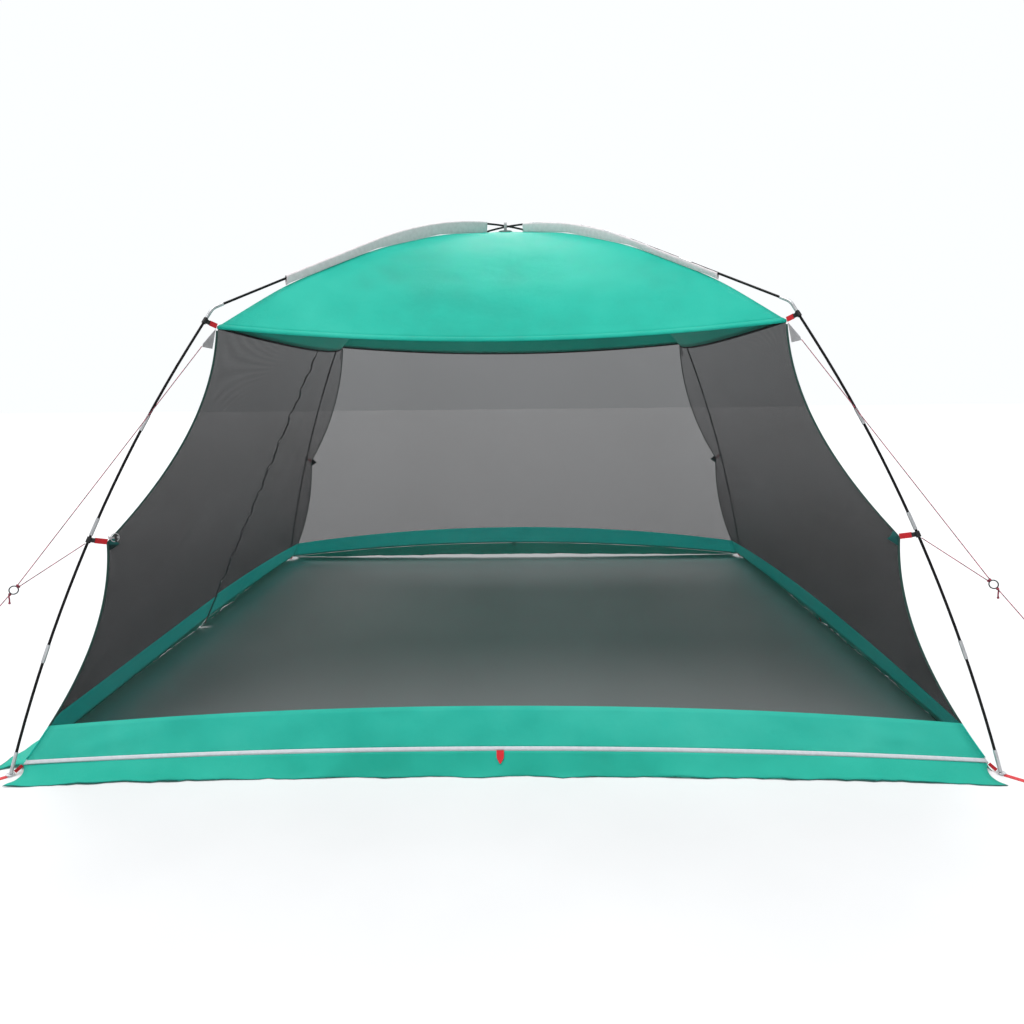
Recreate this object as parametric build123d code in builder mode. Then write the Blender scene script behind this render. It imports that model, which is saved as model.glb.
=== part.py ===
from build123d import *
from math import atan2, degrees, sqrt
import os

os.makedirs("parts", exist_ok=True)

# A square screen house: two crossed poles, a four-panel roof hung under them, four mesh walls with a
# fabric band and a ground skirt, a zipped door in the left wall, and guy lines at the front corners.
# Millimetres, +Z up, ground at Z = 0, front wall towards -Y, origin on the ground under the peak.
#
# Every corner point lies on a diagonal of the square. Its "reach" is its distance from the centre
# along X and along Y alike, so a corner point is (reach, height) in its corner's upright plane.

DIAGONAL = sqrt(2)
CORNERS = {"front_left": (-1, -1), "front_right": (1, -1), "back_right": (1, 1), "back_left": (-1, 1)}
SIDES = ("front", "right", "back", "left")

# Poles: centre line as (reach, height) of its straight runs' meeting points
FOOT = (1700, 0)
KNEE = (1511, 810)
SHOULDER = (1105, 1620)
RIDGE_HEIGHT = 2275
CROWN = 2098
POLE_RADII = (5400, 60, 2100)
POLE_SPACING = 10.4
ROD_RADIUS = 4.75
BORE_RADIUS = 2.6
SHOCK_CORD_RADIUS = 1.5
SHOCK_CORD_INSET = 40
FERRULE_RADIUS = 6.3
FERRULE_LENGTH = 65
LEG_FERRULES = (432, 902, 1318)
ROOF_FERRULES = (230, 690, 1130)
ELBOW_ARM = 46
ROD_GAP = 1.0
FIT = 0.05
TIP_LENGTH = 75
TIP_START = 9

# Fabric corner points as (reach, height)
TAPE_CORNER = (1669, 28)
WALL_MIDDLE = (1425, 770)
ROOF_CORNER = (1094, 1551)
RIDGE = ((0, 2072), (300, 2014), (560, 1914), (865, 1738), (945, 1676), ROOF_CORNER)
PEAK_OPENING = 20

FABRIC = 1.0
ROOF_EDGE_BOW = 112
ROOF_EDGE_SAG = 55
SEAM_BOW_LOW = 58
SEAM_BOW_HIGH = 70
TAPE_RISE = {"front": 50, "right": 25, "back": 95, "left": 25}
HEM_RISE = {"front": 0, "right": 0, "back": 26, "left": 0}
BAND_SHARE = 0.094
BAND_TAPER = 0.02
HEM_REACH = 1722
HEM_FLARE = 68
HEM_TUCK = -32
HEM_NICK = 27
TAPE_SHARE = 0.0072
TAPE_PROUD = 1.4
EDGE_SHARE = 0.012
GRID = 6

# Pole sleeves
SLEEVE_START = 880
SLEEVE_END = 92
SLEEVE_TOP = 13
SLEEVE_WIDTH = 17
SLEEVE_BORE = 7.2

# Corner webbing and hooks: where each pair meets the pole and the fabric
SHOULDER_HOOK_AT = 1774
MIDDLE_HOOK_AT = 852
WEBBING_WIDTH = 20
WEBBING = 1.8
HOOK_RADIUS = 8.6
HOOK_BORE = 5.0
HOOK_HEIGHT = 22
HOOK_EAR = 20
HOOK_EAR_HEIGHT = 16
HOOK_EAR_THICKNESS = 7

# Pegging points
PEG_STRAP_LENGTH = 84
PEG_EYE_RADIUS = 6
PEG_EYE_SETBACK = 16

# Zip and door in the left wall
ZIP_GAP = 0.4
TOOTH_WIDTH = 2.6
TOOTH_LOW, TOOTH_HIGH = -0.7, 2.3
ZIP_TAPE_WIDTH = 15
ZIP_MARGIN = 9
SLIDER_LENGTH = 20
SLIDER_WIDTH = 12
SLIDER_REST = 30

# Guy lines at the two front corners: (x, y, z) for the right-hand side, mirrored for the left
CORD_RADIUS = 1.5
GUY_TAB = (1146, -1146, 1478)
GUY_MIDDLE = (1480, -1480, 776)
GUY_RING = (1648, -1648, 650)
GUY_GROUND = (2085, -2125, CORD_RADIUS + 0.5)
GUY_ASIDE = 18
RING_RADIUS = 14
RING_WIRE = 2


def corner_plane(corner):
    """The upright plane through the centre and one corner: x runs outwards, y upwards."""
    sx, sy = CORNERS[corner]
    return Plane(origin=(0, 0, 0), x_dir=(sx, sy, 0), z_dir=(sy, -sx, 0))


def across(point):
    """(reach, height) as that plane's own (x, y)."""
    return (DIAGONAL * point[0], point[1])


def at_corner(corner, point):
    sx, sy = CORNERS[corner]
    return Vector(sx * point[0], sy * point[0], point[1])


def save(builder, label):
    builder.part.label = label
    export_step(builder.part, f"parts/{label}.step")


# ---------------------------------------------------------------- poles


def pole_path(corner, lift):
    """One whole pole, foot to foot over the peak, as straight runs and tangent arcs."""
    points = [across(FOOT), across(KNEE), across(SHOULDER)]
    opposite = [(-x, y) for x, y in reversed(points)]
    knee, shoulder, top = POLE_RADII
    with BuildLine(corner_plane(corner)) as line:
        FilletPolyline(
            *points, (0, RIDGE_HEIGHT + lift), *opposite, radius=[knee, shoulder, top, shoulder, knee]
        )
    return line.wire()


POLES = {
    "front_left": pole_path("front_left", POLE_SPACING / 2),
    "front_right": pole_path("front_right", -POLE_SPACING / 2),
}
SHARED_POLE = {
    "front_left": ("front_left", False),
    "back_right": ("front_left", True),
    "front_right": ("front_right", False),
    "back_left": ("front_right", True),
}


def pole_stretch(corner, start, end):
    """The part of a corner's pole from start to end, in mm along it from that corner's foot."""
    name, far = SHARED_POLE[corner]
    wire = POLES[name]
    whole = wire.length
    if far:
        start, end = whole - end, whole - start
    return wire.trim(start / whole, end / whole)


def pole_spot(corner, distance):
    """The point at a distance up a corner's pole, and the way the pole runs there, upwards."""
    name, far = SHARED_POLE[corner]
    wire = POLES[name]
    share = distance / wire.length
    if far:
        return wire @ (1 - share), (wire % (1 - share)) * -1
    return wire @ share, wire % share


def half_pole(corner):
    return POLES[SHARED_POLE[corner][0]].length / 2


def run_along(path, radius, bore=0.0):
    """Sweeps a round bar or tube along a path, inside the part builder that is open."""
    with BuildSketch(Plane(origin=path @ 0, z_dir=path % 0)) as section:
        Circle(radius)
        if bore:
            Circle(bore, mode=Mode.SUBTRACT)
    sweep(section.sketch, path=path)


LEG_LENGTH = sqrt((DIAGONAL * (FOOT[0] - SHOULDER[0])) ** 2 + (SHOULDER[1] - FOOT[1]) ** 2) + 8

for corner in CORNERS:
    ends = [TIP_START + 12, *LEG_FERRULES, LEG_LENGTH]
    with BuildPart() as leg:
        for low, high in zip(ends, ends[1:]):
            run_along(pole_stretch(corner, low + ROD_GAP, high - ROD_GAP), ROD_RADIUS, BORE_RADIUS)
    save(leg, f"leg_sections_{corner}")

with BuildPart() as roof_rods:
    for corner in POLES:
        half = half_pole(corner)
        stops = sorted([half - d for d in ROOF_FERRULES] + [half + d for d in ROOF_FERRULES])
        ends = [LEG_LENGTH, *stops, 2 * half - LEG_LENGTH]
        for low, high in zip(ends, ends[1:]):
            run_along(pole_stretch(corner, low + ROD_GAP, high - ROD_GAP), ROD_RADIUS, BORE_RADIUS)
save(roof_rods, "roof_sections")

with BuildPart() as ferrules:
    for corner in CORNERS:
        for centre in (*LEG_FERRULES, *(half_pole(corner) - d for d in ROOF_FERRULES)):
            reach = FERRULE_LENGTH / 2
            run_along(pole_stretch(corner, centre - reach, centre + reach), FERRULE_RADIUS, ROD_RADIUS + FIT)
save(ferrules, "ferrules")

with BuildPart() as elbows:
    for corner in CORNERS:
        path = pole_stretch(corner, LEG_LENGTH - ELBOW_ARM, LEG_LENGTH + ELBOW_ARM)
        run_along(path, FERRULE_RADIUS, ROD_RADIUS + FIT)
save(elbows, "shoulder_elbows")

with BuildPart() as tips:
    for corner in CORNERS:
        path = pole_stretch(corner, TIP_START, TIP_START + TIP_LENGTH)
        run_along(path, FERRULE_RADIUS, ROD_RADIUS + FIT)
save(tips, "foot_tips")

with BuildPart() as shock_cords:
    for corner in POLES:
        far_end = 2 * half_pole(corner) - SHOCK_CORD_INSET
        run_along(pole_stretch(corner, SHOCK_CORD_INSET, far_end), SHOCK_CORD_RADIUS)
save(shock_cords, "shock_cords")

# The pins stand on the ground and plug into the tips; each carries a ring for the webbing.
PIN_BASE_RADIUS = 9
PIN_BASE = 5
PIN_RADIUS = 2.2
PIN_LENGTH = 20
with BuildPart() as pins:
    for corner in CORNERS:
        foot = at_corner(corner, FOOT)
        with BuildSketch(Plane(origin=foot)):
            Circle(PIN_BASE_RADIUS)
        extrude(amount=PIN_BASE)
        root, up = pole_spot(corner, PIN_BASE - 2)
        with BuildSketch(Plane(origin=root, z_dir=up)):
            Circle(PIN_RADIUS)
        extrude(amount=PIN_LENGTH)
save(pins, "foot_pins")

FOOT_RING_RADIUS = 13
FOOT_RING_WIRE = 1.6
with BuildPart() as foot_rings:
    for corner in CORNERS:
        centre = at_corner(corner, (FOOT[0], PIN_BASE + FOOT_RING_WIRE + 0.4))
        with BuildSketch(Plane(origin=centre, x_dir=(1, 0, 0), z_dir=(0, 1, 0))):
            with Locations((FOOT_RING_RADIUS, 0)):
                Circle(FOOT_RING_WIRE)
        revolve(axis=Axis(centre, (0, 0, 1)))
save(foot_rings, "foot_rings")

# ---------------------------------------------------------------- corner webbing


def upright_strap(corner, start, end, width, thickness):
    """A flat strap standing in the corner's upright plane, from one point to another in it."""
    (x0, y0), (x1, y1) = across(start), across(end)
    middle = ((x0 + x1) / 2, (y0 + y1) / 2)
    length = sqrt((x1 - x0) ** 2 + (y1 - y0) ** 2)
    with BuildSketch(corner_plane(corner)) as outline:
        with Locations(middle):
            Rectangle(length, width, rotation=degrees(atan2(y1 - y0, x1 - x0)))
    extrude(outline.sketch, amount=thickness / 2, both=True)


def toward(start, end, distance):
    """The point at a distance, in mm in the corner plane, from start towards end."""
    length = sqrt((DIAGONAL * (end[0] - start[0])) ** 2 + (end[1] - start[1]) ** 2)
    share = distance / length
    return (start[0] + (end[0] - start[0]) * share, start[1] + (end[1] - start[1]) * share)


def hook_pairs(corner):
    """Each hook's place on the pole, as (distance up it, its own point), and the fabric point it holds."""
    pairs = []
    for distance, fabric in ((SHOULDER_HOOK_AT, ROOF_CORNER), (MIDDLE_HOOK_AT, WALL_MIDDLE)):
        spot, up = pole_spot(corner, distance)
        pairs.append((spot, up, (abs(spot.X), spot.Z), fabric))
    return pairs


with BuildPart() as hooks:
    for corner in CORNERS:
        for spot, up, hook, fabric in hook_pairs(corner):
            with BuildSketch(Plane(origin=spot - up * (HOOK_HEIGHT / 2), z_dir=up)):
                Circle(HOOK_RADIUS)
                Circle(HOOK_BORE, mode=Mode.SUBTRACT)
            extrude(amount=HOOK_HEIGHT)
            near, far = toward(hook, fabric, HOOK_RADIUS - 0.8), toward(hook, fabric, HOOK_EAR)
            upright_strap(corner, near, far, HOOK_EAR_HEIGHT, HOOK_EAR_THICKNESS)
save(hooks, "pole_hooks")

with BuildPart() as straps:
    for corner in CORNERS:
        for pair in hook_pairs(corner):
            hook, fabric = pair[2:]
            start, end = toward(hook, fabric, HOOK_EAR), toward(fabric, hook, 4)
            upright_strap(corner, start, end, WEBBING_WIDTH, WEBBING)
save(straps, "hook_straps")

with BuildPart() as patches:
    for corner in CORNERS:
        with BuildSketch(corner_plane(corner)):
            with BuildLine():
                x, y = across(WALL_MIDDLE)
                Polyline((x + 16, y + 4), (x - 14, y + 38), (x - 14, y - 38), (x + 16, y - 32), close=True)
            make_face()
        extrude(amount=2.2, both=True)
save(patches, "corner_patches")

with BuildPart() as foot_straps:
    for corner in CORNERS:
        start = (TAPE_CORNER[0] + 3, TAPE_CORNER[1] - 3)
        end = (FOOT[0] - (FOOT_RING_RADIUS + 2) / DIAGONAL, PIN_BASE + 5)
        upright_strap(corner, start, end, 12, WEBBING)
save(foot_straps, "foot_straps")

PEG_START = DIAGONAL * FOOT[0] + PIN_BASE_RADIUS + 1
PEG_EYE = PEG_START + PEG_STRAP_LENGTH - PEG_EYE_SETBACK
with BuildPart() as peg_straps:
    for corner in CORNERS:
        sx, sy = CORNERS[corner]
        ground = Plane(origin=(0, 0, 0.2), x_dir=(sx, sy, 0), z_dir=(0, 0, 1))
        with BuildSketch(ground):
            with Locations((PEG_START + PEG_STRAP_LENGTH / 2, 0)):
                Rectangle(PEG_STRAP_LENGTH, WEBBING_WIDTH)
            with Locations((PEG_EYE, 0)):
                Circle(PEG_EYE_RADIUS, mode=Mode.SUBTRACT)
        extrude(amount=WEBBING)
save(peg_straps, "peg_straps")

# ---------------------------------------------------------------- fabric surfaces


def to_side(side, along, out, height):
    """A point given along a side (u = +1 end first counter-clockwise), outwards and upwards."""
    turn = 90 * SIDES.index(side)
    return Vector(along, -out, height).rotate(Axis.Z, turn)


def seam_offset(share):
    """How far a corner seam stands out from the straight line, tape corner to roof corner."""
    middle = (WALL_MIDDLE[1] - TAPE_CORNER[1]) / (ROOF_CORNER[1] - TAPE_CORNER[1])
    chord = TAPE_CORNER[0] + (ROOF_CORNER[0] - TAPE_CORNER[0]) * middle
    pull = WALL_MIDDLE[0] - chord
    if share < middle:
        t = share / middle
        return pull * t - SEAM_BOW_LOW * 4 * t * (1 - t)
    t = (share - middle) / (1 - middle)
    return pull * (1 - t) - SEAM_BOW_HIGH * 4 * t * (1 - t)


def wall_point(side, u, share, proud=0.0):
    """A point of a wall: u from -1 to 1 along it, share from 0 at the tape to 1 at the roof edge."""
    dip = 1 - u * u
    low = (u * TAPE_CORNER[0], TAPE_CORNER[0], TAPE_CORNER[1] + TAPE_RISE[side] * dip)
    high = (u * ROOF_CORNER[0], ROOF_CORNER[0] - ROOF_EDGE_BOW * dip, ROOF_CORNER[1] - ROOF_EDGE_SAG * dip)
    along, out, height = (a + (b - a) * share for a, b in zip(low, high))
    pull = seam_offset(share)
    return to_side(side, along + u * abs(u) * pull, out + u * u * pull + proud, height)


def band_share(u):
    return BAND_SHARE - BAND_TAPER * u * u


def spread(start, end, count):
    return [start + (end - start) * i / count for i in range(count + 1)]


def cloth(rows, thickness=FABRIC):
    """A closed sheet of flat facets through a grid of points, in the part builder that is open."""
    last_row, last_column = len(rows) - 1, len(rows[0]) - 1
    skins = ([], [])
    for i, row in enumerate(rows):
        for skin in skins:
            skin.append([])
        for j, point in enumerate(row):
            up = rows[min(i + 1, last_row)][j] - rows[max(i - 1, 0)][j]
            side = row[min(j + 1, last_column)] - row[max(j - 1, 0)]
            half = side.cross(up).normalized() * (thickness / 2)
            skins[0][i].append(point + half)
            skins[1][i].append(point - half)
    outer, inner = skins
    facets = []
    for i in range(last_row):
        for j in range(last_column):
            for a, b, c, d in (
                (outer[i][j], outer[i][j + 1], outer[i + 1][j + 1], outer[i + 1][j]),
                (inner[i][j], inner[i + 1][j], inner[i + 1][j + 1], inner[i][j + 1]),
            ):
                facets += [(a, b, c), (a, c, d)]
    rim = [(0, j) for j in range(last_column)] + [(i, last_column) for i in range(last_row)]
    rim += [(last_row, j) for j in range(last_column, 0, -1)] + [(i, 0) for i in range(last_row, 0, -1)]
    for (i, j), (m, n) in zip(rim, rim[1:] + rim[:1]):
        facets += [(outer[i][j], inner[i][j], inner[m][n]), (outer[i][j], inner[m][n], outer[m][n])]
    add(Solid(Shell([Face(Wire.make_polygon(facet)) for facet in facets])))


def wall_cloth(side, u_range, low, high, thickness=FABRIC, proud=0.0, rows=GRID, columns=GRID):
    """Part of a wall between two heights, each a function of u."""
    cloth(
        [
            [wall_point(side, u, low(u) + (high(u) - low(u)) * v, proud) for u in spread(*u_range, columns)]
            for v in spread(0, 1, rows)
        ],
        thickness,
    )


def skirt_point(side, u, t):
    """A point of a skirt: t from 0 at the tape to 1 at the hem on the ground."""
    dip = 1 - u * u
    low = FABRIC / 2 + 0.4
    flare = HEM_TUCK if side == "right" and u < 0 else HEM_FLARE
    top = (u * TAPE_CORNER[0], TAPE_CORNER[0] + 2, TAPE_CORNER[1] + TAPE_RISE[side] * dip - 3)
    hem = (u * (TAPE_CORNER[0] + 8), HEM_REACH + flare * u * u, low + HEM_RISE[side] * dip * dip)
    curl = (1 - t) ** 1.5
    nick = HEM_NICK * 4 * t * (1 - t) * u**7
    return to_side(
        side,
        top[0] + (hem[0] - top[0]) * t - nick,
        top[1] + (hem[1] - top[1]) * t,
        hem[2] + (top[2] - hem[2]) * curl,
    )


def skirt_cloth(side, u_range):
    cloth([[skirt_point(side, u, t) for u in spread(*u_range, GRID)] for t in spread(0, 1, GRID)])


FULL = (-1, 1)
REAR_HALF = (-1, -ZIP_MARGIN / TAPE_CORNER[0])

# Plain walls with their bands, skirts, tapes and edge bindings
for side in SIDES:
    if side == "left":
        continue
    with BuildPart() as wall:
        wall_cloth(side, FULL, band_share, lambda u: 1.0, rows=2 * GRID, columns=2 * GRID)
    save(wall, f"mesh_wall_{side}")
    with BuildPart() as band:
        wall_cloth(side, FULL, lambda u: 0.0, lambda u: band_share(u) - 0.001, rows=2)
    save(band, f"band_{side}")
    with BuildPart() as skirt:
        skirt_cloth(side, FULL)
    save(skirt, f"skirt_{side}")

# ---------------------------------------------------------------- roof


def ridge_height(reach):
    """Height of the ridge over a diagonal, by straight lines between the ridge's points."""
    for (r0, z0), (r1, z1) in zip(RIDGE, RIDGE[1:]):
        if reach <= r1:
            return z0 + (z1 - z0) * (reach - r0) / (r1 - r0)
    return ROOF_CORNER[1]


def roof_point(side, u, reach):
    dip = (1 - u * u) * (reach / ROOF_CORNER[0]) ** 2
    return to_side(side, u * reach, reach - ROOF_EDGE_BOW * dip, ridge_height(reach) - ROOF_EDGE_SAG * dip)


ROOF_ROWS = (PEAK_OPENING, 150, 300, 430, 560, 710, 865, 950, 1030, ROOF_CORNER[0])
for side in SIDES:
    with BuildPart() as panel:
        cloth([[roof_point(side, u, reach) for u in spread(-1, 1, GRID)] for reach in ROOF_ROWS])
    save(panel, f"roof_panel_{side}")

for corner in CORNERS:
    with BuildPart() as sleeve:
        with BuildSketch(corner_plane(corner)) as outline:
            with BuildLine():
                slope = (RIDGE_HEIGHT - SHOULDER[1]) / (DIAGONAL * SHOULDER[0])
                foot_x, head_x = DIAGONAL * SLEEVE_START, DIAGONAL * SLEEVE_END
                crown = CROWN + SLEEVE_TOP
                top_foot = (foot_x, RIDGE_HEIGHT - slope * foot_x + SLEEVE_TOP)
                top_knee = (DIAGONAL * 572, RIDGE_HEIGHT - slope * DIAGONAL * 572 + SLEEVE_TOP)
                top_head = (head_x, crown - 4)
                low = [across((r, ridge_height(r) + 1.5)) for r in (SLEEVE_END, 300, 560, 865)]
                Line((foot_x, low[-1][1]), top_foot)
                Line(top_foot, top_knee)
                ThreePointArc(top_knee, (DIAGONAL * 290, crown - 41), top_head)
                Line(top_head, low[0])
                Polyline(*low, (foot_x, low[-1][1]))
            make_face()
        extrude(amount=SLEEVE_WIDTH / 2, both=True)
        channel = pole_stretch(corner, LEG_LENGTH + ELBOW_ARM, half_pole(corner))
        with BuildSketch(Plane(origin=channel @ 0, z_dir=channel % 0)):
            Circle(SLEEVE_BORE)
        sweep(path=channel, mode=Mode.SUBTRACT)
    save(sleeve, f"pole_sleeve_{corner}")

TIE_WIDTH, TIE_HEIGHT, TIE_BREADTH = 14, 40, 34
with BuildPart() as tie:
    crossing = CROWN
    with BuildSketch(Plane(origin=(0, 0, 0), x_dir=(0, 1, 0), z_dir=(1, 0, 0))):
        with Locations((0, crossing)):
            SlotOverall(TIE_HEIGHT, TIE_BREADTH, rotation=90)
            SlotOverall(TIE_HEIGHT - 3, TIE_BREADTH - 3, rotation=90, mode=Mode.SUBTRACT)
    extrude(amount=TIE_WIDTH / 2, both=True)
    with BuildSketch(Plane.XY.offset(RIDGE[0][1] + FABRIC)):
        Circle(34)
    extrude(amount=1.5)
    with BuildSketch(Plane.XY.offset(RIDGE[0][1] + FABRIC + 1.5)):
        Rectangle(TIE_WIDTH, 3)
    extrude(amount=crossing - TIE_HEIGHT / 2 - RIDGE[0][1] - FABRIC - 0.7)
save(tie, "crossing_tie")

# ---------------------------------------------------------------- left wall and its door

# The door is the front half of the left wall. Unzipped, it folds back about a straight line from the
# zip's top to the front tape corner.
ZIP_FOOT = wall_point("left", 0, 0)
ZIP_HEAD = wall_point("left", 0, 1)
DOOR_CORNER = at_corner("front_left", TAPE_CORNER)
ZIP_DIRECTION = (ZIP_HEAD - ZIP_FOOT).normalized()
ZIP_LENGTH = (ZIP_HEAD - ZIP_FOOT).length
FOLD_DIRECTION = (ZIP_HEAD - DOOR_CORNER).normalized()
OUTWARD = (DOOR_CORNER - ZIP_FOOT).cross(ZIP_DIRECTION).normalized()
if OUTWARD.X > 0:
    OUTWARD = OUTWARD * -1
# The door's plane: x runs forwards from the zip (towards the front corner), y runs up the zip
DOOR_PLANE = Plane(origin=ZIP_FOOT, x_dir=ZIP_DIRECTION.cross(OUTWARD), z_dir=OUTWARD)
CORNER_AT = DOOR_PLANE.to_local_coords(DOOR_CORNER)
HEAD_AT = DOOR_PLANE.to_local_coords(ZIP_HEAD)
FORWARD = 1 if CORNER_AT.X > 0 else -1


def fold_x(height, gap=0.0):
    """Where the fold line is at a height up the zip, less a gap, in the door's plane."""
    share = (height - CORNER_AT.Y) / (HEAD_AT.Y - CORNER_AT.Y)
    return CORNER_AT.X + (HEAD_AT.X - CORNER_AT.X) * share - FORWARD * gap


BAND_WIDTH = BAND_SHARE * ZIP_LENGTH
DOOR_FOOT = 4
DOOR_HEAD = ZIP_LENGTH - 26
DOOR_GAP = 3.0


def door_piece(low, high, thickness, proud=0.0):
    """A flat piece of the door between two heights up the zip."""
    edge = FORWARD * ZIP_MARGIN
    with BuildSketch(DOOR_PLANE.offset(proud - thickness / 2)) as outline:
        with BuildLine():
            fold_low, fold_high = fold_x(low, DOOR_GAP), fold_x(high, DOOR_GAP)
            Polyline((edge, low), (fold_low, low), (fold_high, high), (edge, high), close=True)
        make_face()
    extrude(outline.sketch, amount=thickness)


with BuildPart() as door_mesh:
    door_piece(BAND_WIDTH, DOOR_HEAD, FABRIC)
save(door_mesh, "door_mesh")

with BuildPart() as door_band:
    door_piece(DOOR_FOOT, BAND_WIDTH - 1, FABRIC)
save(door_band, "door_band")

with BuildPart() as door_tape:
    door_piece(DOOR_FOOT, DOOR_FOOT + 11, 1.0, proud=FABRIC + 0.05)
save(door_tape, "door_tape")

DOOR_SKIRT_END = 0.93
with BuildPart() as door_skirt:
    skirt_cloth("left", (0.006, DOOR_SKIRT_END))
save(door_skirt, "door_skirt")

with BuildPart() as rear_skirt:
    skirt_cloth("left", (-1, -0.006))
save(rear_skirt, "skirt_left")


def corner_rows(low, high):
    """Grid rows of the fixed corner piece, from the fold line out to the corner seam."""
    rows = []
    roof_corner = at_corner("front_left", ROOF_CORNER)
    for v in spread(low, high, GRID):
        fold = DOOR_CORNER + (ZIP_HEAD - DOOR_CORNER) * v
        seam = wall_point("left", 1, v)
        row = []
        for t in spread(0.0, 1.0, GRID):
            bow = wall_point("left", t, 1) - (ZIP_HEAD + (roof_corner - ZIP_HEAD) * t)
            row.append(fold + (seam - fold) * t + bow * v**3)
        rows.append(row)
    return rows


with BuildPart() as left_wall:
    wall_cloth("left", REAR_HALF, band_share, lambda u: 1.0, rows=2 * GRID)
    cloth(corner_rows(0.12, 1.0))
save(left_wall, "mesh_wall_left")

with BuildPart() as left_band:
    wall_cloth("left", REAR_HALF, lambda u: 0.0, lambda u: band_share(u) - 0.001, rows=2)
    cloth(corner_rows(0.02, 0.118))
save(left_band, "band_left")

with BuildPart() as tape:
    for side in SIDES:
        u_range = REAR_HALF if side == "left" else FULL
        wall_cloth(side, u_range, lambda u: 0.0, lambda u: TAPE_SHARE, 1.0, TAPE_PROUD, rows=1)
save(tape, "base_tape")

with BuildPart() as bindings:
    for side in SIDES:
        wall_cloth(side, (-0.985, 0.985), lambda u: 1 - EDGE_SHARE, lambda u: 1.0, 1.0, TAPE_PROUD, rows=1)
    for corner in CORNERS:
        seam = []
        for share in spread(0.02, 0.985, 2 * GRID):
            height = TAPE_CORNER[1] + (ROOF_CORNER[1] - TAPE_CORNER[1]) * share
            chord = TAPE_CORNER[0] + (ROOF_CORNER[0] - TAPE_CORNER[0]) * share
            seam.append((chord + seam_offset(share), height))
        with BuildSketch(corner_plane(corner)):
            with BuildLine():
                inner = [across(p) for p in seam]
                outer = [(x + 8, y) for x, y in reversed(inner)]
                Polyline(*inner, *outer, close=True)
            make_face()
        extrude(amount=0.8, both=True)
save(bindings, "edge_bindings")

with BuildPart() as peg_loops:
    for side in SIDES:
        shift = -30 if side == "left" else 0
        height = TAPE_CORNER[1] + TAPE_RISE[side]
        foot = to_side(side, shift, TAPE_CORNER[0] + 4, height)
        turn = 90 * SIDES.index(side)
        face = Plane(
            origin=foot,
            x_dir=Vector(1, 0, 0).rotate(Axis.Z, turn),
            z_dir=Vector(0, -1, 0.55).rotate(Axis.Z, turn),
        )
        with BuildSketch(face):
            with BuildLine():
                Polyline((-13, 0), (13, 0), (12, -25), (2, -44), (-2, -44), (-12, -25), close=True)
            make_face()
            with Locations((0, -22)):
                SlotOverall(12, 5)
        extrude(amount=2.4)
save(peg_loops, "peg_loops")


def zip_side(sign, low, high):
    """One half of the zip: its woven tape and its row of teeth as one moulded strip."""
    with BuildSketch(DOOR_PLANE.offset(FABRIC / 2 + 0.02)) as woven:
        with Locations((sign * (ZIP_GAP + ZIP_TAPE_WIDTH / 2), (low + high) / 2)):
            Rectangle(ZIP_TAPE_WIDTH, high - low)
    extrude(woven.sketch, amount=0.6)
    with BuildSketch(DOOR_PLANE.offset(TOOTH_LOW)) as teeth:
        with Locations((sign * (ZIP_GAP + TOOTH_WIDTH / 2), (low + high) / 2)):
            Rectangle(TOOTH_WIDTH, high - low)
    extrude(teeth.sketch, amount=TOOTH_HIGH - TOOTH_LOW)


with BuildPart() as fixed_zip:
    zip_side(-FORWARD, DOOR_FOOT, ZIP_LENGTH - 8)
save(fixed_zip, "zip_chain_fixed")

with BuildPart() as door_zip:
    zip_side(FORWARD, DOOR_FOOT, ZIP_LENGTH - 40)
save(door_zip, "zip_chain_door")

SLIDER_PLATE = 1.6
SLIDER_AIR = 0.4
with BuildPart() as slider:
    middle = (0, SLIDER_REST + SLIDER_LENGTH / 2)
    plates = (TOOTH_LOW - SLIDER_AIR - SLIDER_PLATE, TOOTH_HIGH + SLIDER_AIR)
    for low in plates:
        with BuildSketch(DOOR_PLANE.offset(low)):
            with Locations(middle):
                RectangleRounded(SLIDER_WIDTH, SLIDER_LENGTH, 3)
        extrude(amount=SLIDER_PLATE)
    with BuildSketch(DOOR_PLANE.offset(plates[0])):
        with Locations((0, SLIDER_REST + SLIDER_LENGTH - 3)):
            Rectangle(0.4, 5)
    extrude(amount=plates[1] + SLIDER_PLATE - plates[0])
    bail = plates[1] + SLIDER_PLATE
    with BuildSketch(DOOR_PLANE.offset(bail - 0.2)):
        with Locations((-3, SLIDER_REST + 9), (3, SLIDER_REST + 9)):
            Rectangle(1.6, 2.4)
    extrude(amount=4.4)
    with BuildSketch(DOOR_PLANE.offset(bail + 3.0)):
        with Locations((0, SLIDER_REST + 9)):
            Rectangle(7.6, 2.0)
    extrude(amount=1.4)
save(slider, "zip_slider")

PULL_HEIGHT = TOOTH_HIGH + SLIDER_AIR + SLIDER_PLATE + 3.7
with BuildPart() as pull:
    side_plane = Plane(
        origin=DOOR_PLANE.from_local_coords((0, SLIDER_REST + 9, PULL_HEIGHT)),
        x_dir=ZIP_DIRECTION * -1,
        z_dir=ZIP_DIRECTION.cross(OUTWARD),
    )
    with BuildSketch(side_plane):
        with Locations((0, 0)):
            Circle(3.2)
        with Locations((20, 0.6)):
            Rectangle(36, 1.8)
        Circle(2.0, mode=Mode.SUBTRACT)
    extrude(amount=1.9, both=True)
    with BuildSketch(side_plane):
        with Locations((24, 0.6)):
            Rectangle(26, 1.8)
    extrude(amount=4, both=True)
save(pull, "zip_pull")

# ---------------------------------------------------------------- door tie-back at the front left corner

TIE_STAND = 24

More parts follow.
